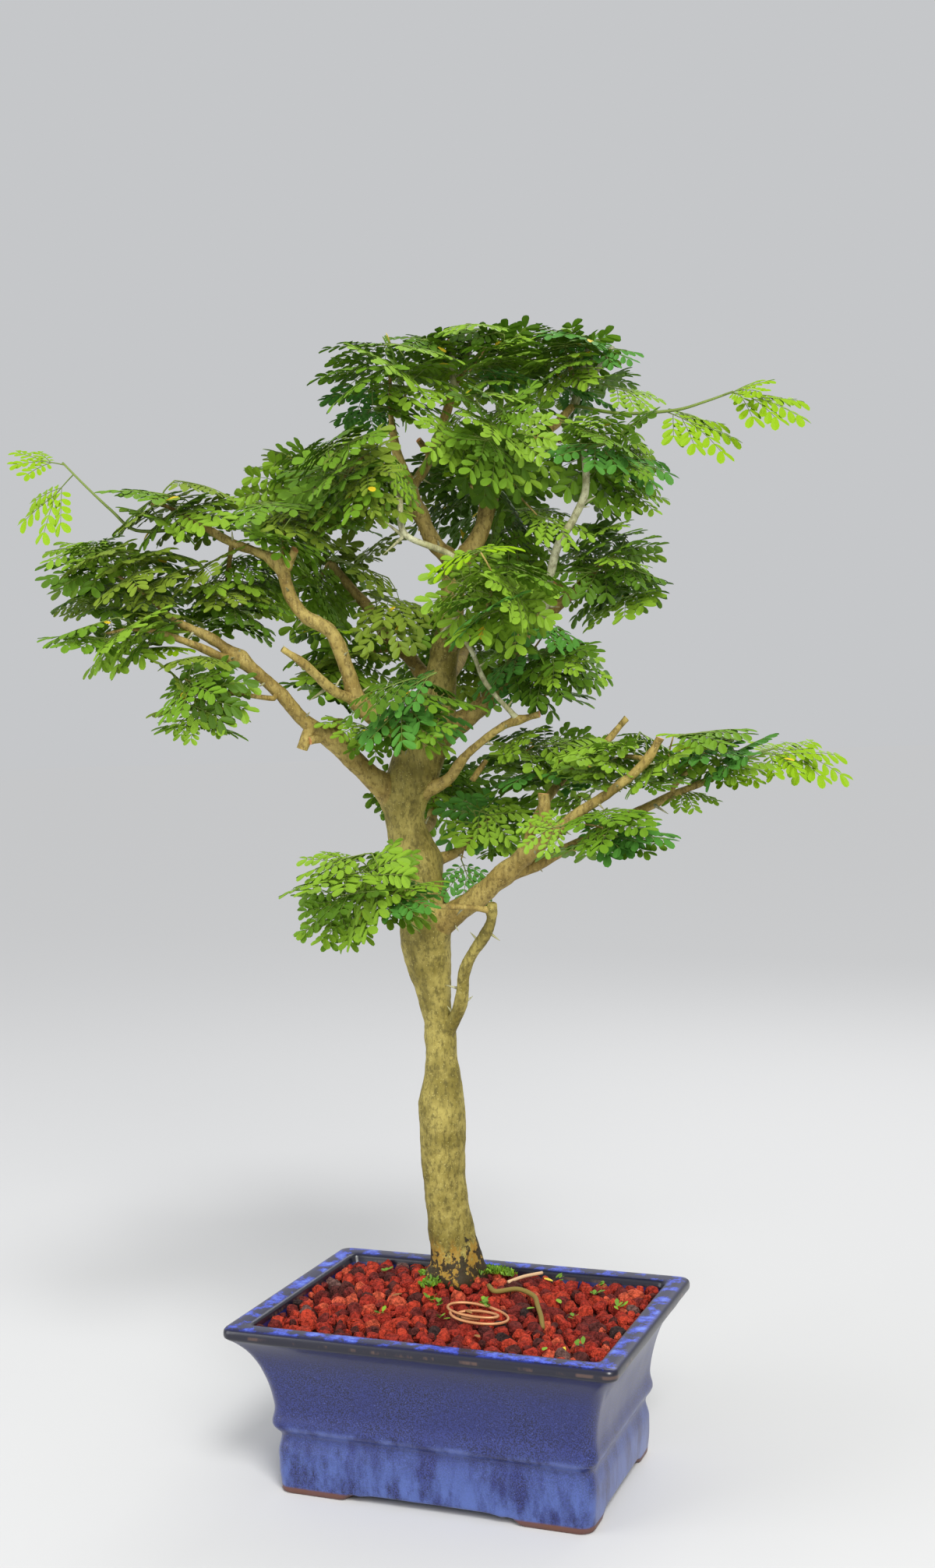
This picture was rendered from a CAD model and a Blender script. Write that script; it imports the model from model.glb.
import math
import random

import bmesh
import bpy
import numpy as np
from mathutils import Matrix, Vector, noise


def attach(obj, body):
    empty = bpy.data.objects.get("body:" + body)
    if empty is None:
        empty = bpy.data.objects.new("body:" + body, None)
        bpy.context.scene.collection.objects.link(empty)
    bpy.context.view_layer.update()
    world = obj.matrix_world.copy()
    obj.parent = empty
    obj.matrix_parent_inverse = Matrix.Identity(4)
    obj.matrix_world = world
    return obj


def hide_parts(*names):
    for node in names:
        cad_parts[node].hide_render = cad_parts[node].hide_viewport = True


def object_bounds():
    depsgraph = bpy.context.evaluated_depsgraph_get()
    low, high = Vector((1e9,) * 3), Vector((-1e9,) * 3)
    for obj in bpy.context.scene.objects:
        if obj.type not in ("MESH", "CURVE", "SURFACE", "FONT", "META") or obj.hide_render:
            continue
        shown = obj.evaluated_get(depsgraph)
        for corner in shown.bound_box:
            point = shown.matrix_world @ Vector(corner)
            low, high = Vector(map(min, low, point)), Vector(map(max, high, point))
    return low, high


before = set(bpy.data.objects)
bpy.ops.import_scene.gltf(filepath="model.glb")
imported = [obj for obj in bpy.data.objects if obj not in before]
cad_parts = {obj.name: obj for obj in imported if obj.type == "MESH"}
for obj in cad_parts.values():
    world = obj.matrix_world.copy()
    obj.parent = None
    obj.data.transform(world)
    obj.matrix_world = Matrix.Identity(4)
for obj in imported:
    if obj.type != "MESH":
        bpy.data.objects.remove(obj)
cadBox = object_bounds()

mm = 0.001
treeFoot = (-18.0, 34.0, 108.0)      # the middle of the trunk's foot, in the pot's frame
treeTurn = math.radians(21.0)        # the tree stands a little askew in its pot
ringStart = (0.31, 0.92, 0.23)       # a way that no limb takes, to start a tube's rings from


# shader sockets with plain arithmetic

class Flow:
    def __init__(self, tree, socket=None):
        self.tree = tree
        self.socket = socket

    def node(self, kind, settings=None, sockets=None, out=0):
        made = self.tree.nodes.new("ShaderNode" + kind)
        for key, value in (settings or {}).items():
            if key == "stops":
                setStops(made.color_ramp, value)
            else:
                setattr(made, key, value)
        for key, value in (sockets or {}).items():
            if isinstance(value, Flow):
                self.tree.links.new(value.socket, made.inputs[key])
            else:
                made.inputs[key].default_value = value
        return Flow(self.tree, made.outputs[out])

    def maths(self, operation, first, second=0.0):
        return self.node("Math", {"operation": operation}, {0: first, 1: second})

    def __add__(self, other):
        return self.maths("ADD", self, other)

    def __radd__(self, other):
        return self.maths("ADD", other, self)

    def __sub__(self, other):
        return self.maths("SUBTRACT", self, other)

    def __rsub__(self, other):
        return self.maths("SUBTRACT", other, self)

    def __mul__(self, other):
        return self.maths("MULTIPLY", self, other)

    def __rmul__(self, other):
        return self.maths("MULTIPLY", other, self)

    def ramp(self, low, high):       # 0 at low and 1 at high, with a soft start and end
        span = {"Value": self, "From Min": low, "From Max": high}
        return self.node("MapRange", {"interpolation_type": "SMOOTHSTEP"}, span)

    def most(self, other):
        return self.maths("MAXIMUM", self, other)

    def least(self, other):
        return self.maths("MINIMUM", self, other)


def setStops(ramp, stops):
    while len(ramp.elements) > 1:
        ramp.elements.remove(ramp.elements[-1])
    for k, (place, tint) in enumerate(stops):
        element = ramp.elements[0] if k == 0 else ramp.elements.new(place)
        element.position = place
        element.color = tint


def paint(r, g, b):                  # screen values from 0 to 255 as a linear colour
    shares = (r / 255, g / 255, b / 255)
    return tuple(s / 12.92 if s < 0.0404 else ((s + 0.055) / 1.055) ** 2.4 for s in shares) + (1.0,)


def blendOf(factor, first, second, how="MIX"):
    flow = next(f for f in (factor, first, second) if isinstance(f, Flow))
    return flow.node("Mix", {"data_type": "RGBA", "blend_type": how}, {0: factor, 6: first, 7: second}, out=2)


def newMaterial(name, roughness=0.6, **fixed):
    made = bpy.data.materials.new(name)
    made.use_nodes = True
    shader = made.node_tree.nodes["Principled BSDF"]
    shader.inputs["Roughness"].default_value = roughness
    for key, value in fixed.items():
        shader.inputs[key.replace("_", " ")].default_value = value
    return made, shader, Flow(made.node_tree)


def feed(flow, shader, **sockets):
    for key, value in sockets.items():
        flow.tree.links.new(value.socket, shader.inputs[key.replace("_", " ")])


def placeOf(flow):                   # the point of the surface, in metres in the pot's frame
    place = flow.node("TexCoord", out=3)
    x = flow.node("SeparateXYZ", None, {0: place}, out=0)
    return place, x, Flow(flow.tree, x.socket.node.outputs[1]), Flow(flow.tree, x.socket.node.outputs[2])


def grain(flow, place, scale, detail=2.0, rough=0.5, stretch=None):
    if stretch:
        place = flow.node("Mapping", None, {"Vector": place, "Scale": stretch})
    sockets = {"Vector": place, "Scale": scale, "Detail": detail, "Roughness": rough}
    return flow.node("TexNoise", None, sockets)


def cells(flow, place, scale, feature="F1", out=0):
    return flow.node("TexVoronoi", {"feature": feature}, {"Vector": place, "Scale": scale}, out=out)


def bumpOf(flow, height, strength, distance):
    return flow.node("Bump", None, {"Strength": strength, "Distance": distance, "Height": height})


# meshes

def makePiece(name, points, faces, materials, picks=None, smooth=True, replaced=()):
    mesh = bpy.data.meshes.new(name)
    mesh.from_pydata((np.asarray(points, float) * mm).tolist(), [], faces)
    for made in materials:
        mesh.materials.append(made)
    if picks is not None:
        mesh.polygons.foreach_set("material_index", np.asarray(picks, np.int32))
    mesh.polygons.foreach_set("use_smooth", [smooth] * len(mesh.polygons))
    mesh.update()
    piece = bpy.data.objects.new(name, mesh)
    bpy.context.scene.collection.objects.link(piece)
    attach(piece, "root")
    if replaced:
        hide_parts(*replaced)
    return piece


class Heap:                          # many shapes gathered into one mesh
    def __init__(self):
        self.points, self.faces, self.picks, self.count = [], [], [], 0

    def add(self, points, faces, pick=0):
        base = self.count
        self.points.append(np.asarray(points, float))
        self.faces += [tuple(base + i for i in face) for face in faces]
        self.picks += [pick] * len(faces)
        self.count += len(points)

    def triangles(self):
        return sum(len(face) - 2 for face in self.faces)

    def piece(self, name, materials, slot, smooth=True, replaced=(), inTree=False):
        points = np.vstack(self.points)
        if inTree:
            points = inPot(points)
        return makePiece(name, points, self.faces, materials, self.picks, smooth, replaced)


def unit(v):
    return v / max(np.linalg.norm(v), 1e-9)


def inPot(points):                   # from the tree's right, front and up to the pot's x, y and z
    right, front, up = np.atleast_2d(points).T
    c, s = math.cos(treeTurn), math.sin(treeTurn)
    return np.column_stack(
        (treeFoot[0] + right * c + front * s, treeFoot[1] + right * s - front * c, treeFoot[2] + up)
    )


def smoothRoute(route, step, ease=0.5):       # way points rounded off, with a point each step
    route = np.array(route, float)
    ends = np.vstack([2 * route[0] - route[1], route, 2 * route[-1] - route[-2]])
    out = []
    for a, b, c, d in zip(ends, ends[1:], ends[2:], ends[3:]):
        count = max(1, round(np.linalg.norm(c[:3] - b[:3]) / step))
        leave, arrive = (c - a) * ease, (d - b) * ease
        reach = np.linalg.norm(c[:3] - b[:3])
        leave *= min(1.0, reach / max(np.linalg.norm(leave[:3]), 1e-9))
        arrive *= min(1.0, reach / max(np.linalg.norm(arrive[:3]), 1e-9))
        for k in range(count):
            t = k / count
            out.append(
                b * (2 * t**3 - 3 * t**2 + 1) + leave * (t**3 - 2 * t**2 + t)
                + c * (3 * t**2 - 2 * t**3) + arrive * (t**3 - t**2)
            )
    out.append(route[-1])
    return np.array(out)


def tube(path, radii, sides, capped=True):    # rings of points along a path, and the faces between
    path = np.asarray(path, float)
    steps = np.diff(path, axis=0)
    steps /= np.maximum(np.linalg.norm(steps, axis=1), 1e-9)[:, None]
    along = np.vstack([steps[:1], steps[:-1] + steps[1:], steps[-1:]])
    along /= np.maximum(np.linalg.norm(along, axis=1), 1e-9)[:, None]
    side = unit(np.cross(along[0], ringStart))
    angles = 2 * math.pi * np.arange(sides) / sides
    rings = []
    for p, way, r in zip(path, along, radii):
        side = unit(side - way * (side @ way))
        other = np.cross(way, side)
        rings.append(p + r * (np.cos(angles)[:, None] * side + np.sin(angles)[:, None] * other))
    faces = []
    for k in range(len(path) - 1):
        for i in range(sides):
            j = (i + 1) % sides
            faces.append((k * sides + i, k * sides + j, (k + 1) * sides + j, (k + 1) * sides + i))
    if capped:
        faces.append(tuple(reversed(range(sides))))
        faces.append(tuple(range((len(path) - 1) * sides, len(path) * sides)))
    return np.vstack(rings), faces


# the pot

pot = {
    "halfLength": 120.0, "halfDepth": 86.0,
    "outer": (                       # height, how far in from the rim, corner radius
        (0.0, 24.0, 8), (1.2, 23.0, 8), (6, 22.4, 8), (12, 21.9, 8), (18, 21.6, 9), (24, 21.6, 9),
        (28, 22.3, 9), (31, 23.0, 9), (33.5, 23.2, 9), (36, 22.4, 9), (38.5, 20.4, 9), (41, 19.4, 9),
        (44, 19.6, 9), (47, 20.2, 9), (51, 20.5, 9), (56, 20.0, 9), (62, 18.9, 9), (70, 17.0, 8.5),
        (77, 14.6, 8), (84, 11.3, 7.5), (89, 8.0, 7), (93, 4.6, 6.5), (95.4, 2.0, 6), (96.3, 0.8, 6),
        (97.2, 0.25, 6), (98.5, 0.0, 6), (100.2, 0.0, 6), (101.6, 0.3, 6), (102.5, 1.0, 6),
        (103.0, 2.4, 6),
    ),
    "inner": (
        (103.0, 6.0, 5.5), (102.9, 10.0, 5), (102.6, 12.0, 5), (101.8, 13.0, 5), (100.5, 13.4, 5),
        (98, 14.0, 5), (92, 16.5, 5), (84, 19.5, 5), (60, 26.5, 5), (30, 30.0, 5), (13, 31.0, 5),
    ),
    "footLength": 44.0, "footDepth": 24.0, "arch": 5.2, "skirt": 7.5, "underside": 7.5,
    "uneven": (0.5, 0.16), "flatUnder": 2, "flatOver": 97,      # how wavy the wall is, and between where
    "liningFrom": 6,                 # rings of the inside that still have the rim's glaze
}


def roundedRing(halfX, halfY, corner, perCorner=9, alongX=46, alongY=32):
    points = []
    corners = ((1, -1, -90, alongY), (1, 1, 0, alongX), (-1, 1, 90, alongY), (-1, -1, 180, alongX))
    for k, (signX, signY, start, along) in enumerate(corners):
        arc = []
        for i in range(perCorner):
            a = math.radians(start + 90 * i / (perCorner - 1))
            x, y = corner * math.cos(a), corner * math.sin(a)
            arc.append((signX * (halfX - corner) + x, signY * (halfY - corner) + y))
        points += arc
        nextX, nextY, nextStart, _ = corners[(k + 1) % 4]
        a = math.radians(nextStart)
        x, y = corner * math.cos(a), corner * math.sin(a)
        end = (nextX * (halfX - corner) + x, nextY * (halfY - corner) + y)
        for i in range(along):
            t = (i + 1) / (along + 1)
            points.append((arc[-1][0] * (1 - t) + end[0] * t, arc[-1][1] * (1 - t) + end[1] * t))
    return np.array(points)


def smoothStep(t):
    t = np.clip(t, 0, 1)
    return t * t * (3 - 2 * t)


def archHeight(ring):                # how high the skirt's edge stands over the table, between the feet
    halfX, halfY = np.abs(ring[:, 0]).max(), np.abs(ring[:, 1]).max()
    overX = smoothStep((halfX - pot["footLength"] - np.abs(ring[:, 0])) / 9 + 0.5)
    overY = smoothStep((halfY - pot["footDepth"] - np.abs(ring[:, 1])) / 7 + 0.5)
    lip = 1.3 * np.exp(-(((halfX - pot["footLength"] - 9 - np.abs(ring[:, 0])) / 5) ** 2))
    return (pot["arch"] - lip * (overY < 0.5)) * np.maximum(overX, overY)


def potPoints():
    rings = []
    outer = smoothRoute([(h, inset, corner, 0) for h, inset, corner in pot["outer"]], 1.6)[:, :3]
    for height, inset, corner in outer:
        ring = roundedRing(pot["halfLength"] - inset, pot["halfDepth"] - inset, corner)
        z = np.maximum(height, archHeight(ring) + height * 0.25)
        rings.append(np.column_stack((ring, z)))
    for height, inset, corner in smoothRoute([(h, i, c, 0) for h, i, c in pot["inner"]], 2.5)[:, :3]:
        ring = roundedRing(pot["halfLength"] - inset, pot["halfDepth"] - inset, corner)
        rings.append(np.column_stack((ring, np.full(len(ring), height))))
    under = []
    for extra, lift in ((1.2, -0.2), (pot["skirt"], 0.0), (pot["skirt"] + 1.5, 1.5), (pot["skirt"] + 4, 99)):
        inset = pot["outer"][0][1] + extra
        ring = roundedRing(pot["halfLength"] - inset, pot["halfDepth"] - inset, 6)
        edge = roundedRing(pot["halfLength"] - pot["outer"][0][1], pot["halfDepth"] - pot["outer"][0][1], 6)
        z = np.maximum(np.minimum(archHeight(edge) + lift, pot["underside"]), 0.0)
        under.append(np.column_stack((ring, z)))
    return under[::-1] + rings, len(under) + len(outer)


glaze = {                            # screen colours, and heights and places in metres
    "tints": {
        "dark": (13, 17, 52), "light": (46, 56, 122), "cloud": (28, 37, 100), "pit": (30, 32, 66),
        "speck": (120, 136, 196), "streak": (92, 116, 186), "ridge": (112, 132, 204), "shade": (26, 28, 62),
        "bead": (16, 16, 34), "wear": (92, 70, 60), "clay": (98, 60, 44), "lining": (24, 32, 84),
        "rimDark": (10, 12, 58), "rimBright": (40, 66, 196), "rimPale": (110, 140, 236),
        "rimInside": (10, 12, 44), "rimOutside": (20, 22, 60),
    },
    "streaksFrom": (0.052, 0.006), "ridgeAt": (0.0345, 0.0375, 0.0395, 0.0425), "shadeFrom": (0.097, 0.072),
    "beadFrom": (0.0945, 0.0965), "wearAt": (0.0975, 0.0985, 0.0993, 0.1003), "rimFrom": (0.1016, 0.1026),
    "clayFrom": (0.0048, 0.0032), "rimLine": (0.1070, 0.0730),
}


def makeGlaze():
    made, shader, flow = newMaterial("glaze", 0.3, Coat_Weight=0.25, Coat_Roughness=0.1)
    place, x, y, z = placeOf(flow)
    tint = {name: paint(*value) for name, value in glaze["tints"].items()}
    fine = grain(flow, place, 1300.0, 2.0, 0.6)
    speck = cells(flow, place, 620.0)
    cloud = grain(flow, place, 34.0, 3.0, 0.55)
    drip = grain(flow, place, 85.0, 4.0, 0.62, (1.0, 1.0, 0.42))
    body = blendOf(fine.ramp(0.4, 0.6), tint["dark"], tint["light"])
    body = blendOf(cloud.ramp(0.35, 0.7) * 0.5, body, tint["cloud"])
    body = blendOf(speck.ramp(0.26, 0.12) * 0.55, body, tint["pit"])
    body = blendOf(cells(flow, place, 430.0).ramp(0.16, 0.05) * 0.4, body, tint["speck"])
    low = z.ramp(*glaze["streaksFrom"]) * drip.ramp(0.34, 0.64)
    body = blendOf(low * 0.62, body, tint["streak"])
    rise, full, fall, end = glaze["ridgeAt"]
    ridge = z.ramp(rise, full) * z.ramp(end, fall)
    body = blendOf(ridge * drip.ramp(0.4, 0.65) * 0.35, body, tint["ridge"])
    under = z.ramp(*glaze["shadeFrom"])
    shade = blendOf((1.0 - under) * 0.8, body, tint["shade"])
    blotch = grain(flow, place, 95.0, 4.0, 0.62) + (fine - 0.5) * 0.25
    rimTop = blendOf(blotch.ramp(0.47, 0.56), tint["rimDark"], tint["rimBright"])
    rimTop = blendOf(blotch.ramp(0.56, 0.68) * 0.7, rimTop, tint["rimPale"])
    lineX, lineY = glaze["rimLine"]
    edge = (x.maths("ABSOLUTE", x) - lineX).most(y.maths("ABSOLUTE", y) - lineY)
    rimTop = blendOf(edge.ramp(0.0035, 0.0), rimTop, tint["rimInside"])
    rimTop = blendOf(edge.ramp(0.0095, 0.0125), rimTop, tint["rimOutside"])
    colour = blendOf(z.ramp(*glaze["beadFrom"]), shade, tint["bead"])
    colour = blendOf(z.ramp(*glaze["rimFrom"]), colour, rimTop)
    rise, full, fall, end = glaze["wearAt"]
    wear = z.ramp(rise, full) * z.ramp(end, fall) * drip.ramp(0.5, 0.62)
    colour = blendOf(wear * 0.7, colour, tint["wear"])
    clay = (z.ramp(*glaze["clayFrom"]) * (cloud * 0.4 + 0.75)).least(1.0)
    colour = blendOf(clay, colour, tint["clay"])
    feed(flow, shader, Base_Color=colour, Roughness=0.26 + fine * 0.12 + clay * 0.4)
    feed(flow, shader, Normal=bumpOf(flow, fine * 0.3 + cloud, 0.25, 0.0006))
    return made


def makePot():
    rings, inner = potPoints()
    count = len(rings[0])
    points = np.vstack(rings)
    broad, small = pot["uneven"]
    for p in points:                 # thrown and pressed by hand, so nothing is quite flat
        wobble = noise.noise(Vector(p) * 0.025) * broad + noise.noise(Vector(p) * 0.09) * small
        if pot["flatUnder"] < p[2] < pot["flatOver"]:
            p[:2] *= 1 + wobble / 100
    faces = [tuple(reversed(range(count)))]
    for k in range(len(rings) - 1):
        for i in range(count):
            j = (i + 1) % count
            faces.append((k * count + i, k * count + j, (k + 1) * count + j, (k + 1) * count + i))
    faces.append(tuple(range(len(points) - count, len(points))))
    picks = [int(k > (inner + pot["liningFrom"]) * count) for k in range(len(faces))]
    plain = paint(*glaze["tints"]["lining"])
    lining, _, _ = newMaterial("glazeInside", 0.3, Base_Color=plain, Coat_Weight=0.3)
    return makePiece("glazedPot", points, faces, [makeGlaze(), lining], picks, replaced=("pot",))


makePot()
print("pot made")


# the lava grit

grit = {
    "edge": 99.0, "atTrunk": 108.0, "trunkRoom": 18.0, "heapReach": 80.0, "halfX": 106.0, "halfY": 72.0,
    "spacing": 10.5, "shift": 1.9, "rise": (0.6, 2.6), "mainSizes": (4.5, 6.2),
    "sizes": (2.4, 4.4), "tries": 26000, "over": 1.6, "seed": 5, "mainSeed": 11,
    "bed": 8.0, "bedTop": 5.5, "clear": 15.5, "bin": 9, "nestle": 0.88, "rows": 30, "columns": 44,
    "tints": {                       # screen colours and how common each is
        "brick": ((138, 32, 13), 32), "rust": ((158, 44, 19), 24), "maroon": ((98, 23, 15), 20),
        "clay": ((178, 72, 44), 8), "umber": ((70, 23, 17), 10), "ash": ((96, 66, 60), 3),
        "black": ((42, 24, 22), 2),
    },
}


def gritTop(x, y):                   # the height of the heap, which rises to the trunk
    out = max(abs(x) / grit["halfX"], abs(y) / grit["halfY"])
    away = math.hypot(x - treeFoot[0], y - treeFoot[1]) - grit["trunkRoom"]
    left = 1 - min(max(away / grit["heapReach"], 0.0), 1.0)
    return grit["edge"] + (grit["atTrunk"] - grit["edge"]) * left * left * (1 - out**6)


def mainStones():                    # the tops of the largest stones, in rows that are much disturbed
    rng = random.Random(grit["mainSeed"])
    space = grit["spacing"]
    halfX, halfY = grit["halfX"] - 0.4 * space, grit["halfY"] - 0.4 * space
    rows = int(2 * halfY / (space * 0.866)) + 1
    tops = []
    for row in range(rows):
        y = -halfY + 2 * halfY * row / (rows - 1)
        x = -halfX + (row % 2) * space / 2
        while x < halfX:
            px = x + rng.uniform(-1, 1) * grit["shift"]
            py = y + rng.uniform(-1, 1) * grit["shift"]
            rise = rng.uniform(*grit["rise"])
            x += space
            if math.hypot(px - treeFoot[0], py - treeFoot[1]) < grit["trunkRoom"] + 3.5:
                continue
            px, py = max(-halfX, min(halfX, px)), max(-halfY, min(halfY, py))
            tops.append((px, py, gritTop(px, py) + rise))
    return tops


def makeLava(name, tint):
    made, shader, flow = newMaterial("lava" + name.capitalize(), 0.9, Specular_IOR_Level=0.25)
    place, _, _, _ = placeOf(flow)
    dust = grain(flow, place, 420.0, 3.0, 0.7)
    pits = cells(flow, place, 900.0)
    light = tuple(min(1.0, c * 1.6 + 0.012) for c in paint(*tint)[:3]) + (1.0,)
    dark = tuple(c * 0.42 for c in paint(*tint)[:3]) + (1.0,)
    colour = blendOf(dust.ramp(0.3, 0.7), dark, light)
    colour = blendOf(pits.ramp(0.3, 0.1) * 0.5, colour, dark)
    feed(flow, shader, Base_Color=colour, Normal=bumpOf(flow, pits + dust, 0.9, 0.0008))
    return made


def ballShape():                     # a ball of 80 faces
    shape = bmesh.new()
    bmesh.ops.create_icosphere(shape, subdivisions=2, radius=1.0)
    points = np.array([v.co for v in shape.verts])
    faces = [tuple(v.index for v in f.verts) for f in shape.faces]
    shape.free()
    return points, faces


def turned(rng):                     # a random turn, as a matrix
    a = np.array([rng.gauss(0, 1) for _ in range(4)])
    w, x, y, z = a / np.linalg.norm(a)
    return np.array((
        (1 - 2 * (y * y + z * z), 2 * (x * y - z * w), 2 * (x * z + y * w)),
        (2 * (x * y + z * w), 1 - 2 * (x * x + z * z), 2 * (y * z - x * w)),
        (2 * (x * z - y * w), 2 * (y * z + x * w), 1 - 2 * (x * x + y * y)),
    ))


def stoneShape(ball, rng, size):     # a lump with a few flat breaks and a pitted face
    points = ball * np.array((rng.uniform(0.95, 1.25), rng.uniform(0.8, 1.0), rng.uniform(0.72, 0.95)))
    for _ in range(8):
        way = unit(np.array([rng.gauss(0, 1) for _ in range(3)]))
        over = np.maximum(points @ way - rng.uniform(0.5, 0.85), 0)
        points = points - over[:, None] * way * 0.97
    shift = Vector((rng.uniform(0, 90), rng.uniform(0, 90), rng.uniform(0, 90)))
    swell = []
    for v in map(Vector, points):
        swell.append(1 + 0.12 * noise.noise(v * 1.4 + shift) + 0.10 * noise.noise(v * 4.2 + shift))
    return (points * np.array(swell)[:, None] * size) @ turned(rng).T


def settleGrit(rng):                 # stones come to rest on the ones below, up to the heap's top
    bins, placed = {}, []

    def binOf(x, y):
        return int(x // grit["bin"]), int(y // grit["bin"])

    def lay(*stone):
        bins.setdefault(binOf(*stone[:2]), []).append(stone)
        placed.append(stone)

    for x, y, top in mainStones():
        r = rng.uniform(*grit["mainSizes"])
        lay(x, y, top - 0.9 * r, r)
    for _ in range(grit["tries"]):
        r = rng.uniform(*grit["sizes"])
        x = rng.uniform(-1, 1) * (grit["halfX"] - r)
        y = rng.uniform(-1, 1) * (grit["halfY"] - r)
        away = math.hypot(x - treeFoot[0], y - treeFoot[1])
        top = gritTop(x, y)
        z = top - grit["bed"] + r
        column, row = binOf(x, y)
        for i in range(column - 1, column + 2):
            for j in range(row - 1, row + 2):
                for px, py, pz, pr in bins.get((i, j), ()):
                    square = (grit["nestle"] * (r + pr)) ** 2 - (x - px) ** 2 - (y - py) ** 2
                    if square > 0:
                        z = max(z, pz + math.sqrt(square))
        if z + 0.75 * r <= top + grit["over"] and away >= grit["clear"]:
            lay(x, y, z, r)
    return placed


def makeGrit():
    rng = random.Random(grit["seed"])
    names = list(grit["tints"])
    lavas = [makeLava(name, grit["tints"][name][0]) for name in names]
    weights = [grit["tints"][name][1] for name in names]
    ball, faces = ballShape()
    stones = settleGrit(rng)
    heap = Heap()
    for x, y, z, r in stones:
        stone = stoneShape(ball, rng, r * 1.08) + np.array((x, y, z))
        heap.add(stone, faces, rng.choices(range(len(names)), weights)[0])
    print(len(stones), "stones", heap.triangles(), "triangles")
    heap.piece("lavaGrit", lavas, "lava", smooth=False)
    bed = []                         # the fill under the loose stones
    rows, columns = grit["rows"], grit["columns"]
    for j in range(rows + 1):
        for i in range(columns + 1):
            x = (2 * i / columns - 1) * (grit["halfX"] - 0.2)
            y = (2 * j / rows - 1) * (grit["halfY"] - 0.2)
            bed.append((x, y, gritTop(x, y) - grit["bedTop"] + noise.noise(Vector((x, y, 0)) * 0.2) * 1.5))
    n = columns + 1
    starts = [j * n + i for j in range(rows) for i in range(columns)]
    faces = [(k, k + 1, k + n + 1, k + n) for k in starts]
    makePiece("gritBed", bed, faces, [lavas[names.index("umber")]], replaced=("soil",))


makeGrit()
print("grit made")


# the trunk and boughs: what each springs from, and its way points as right, front, up and radius

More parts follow.
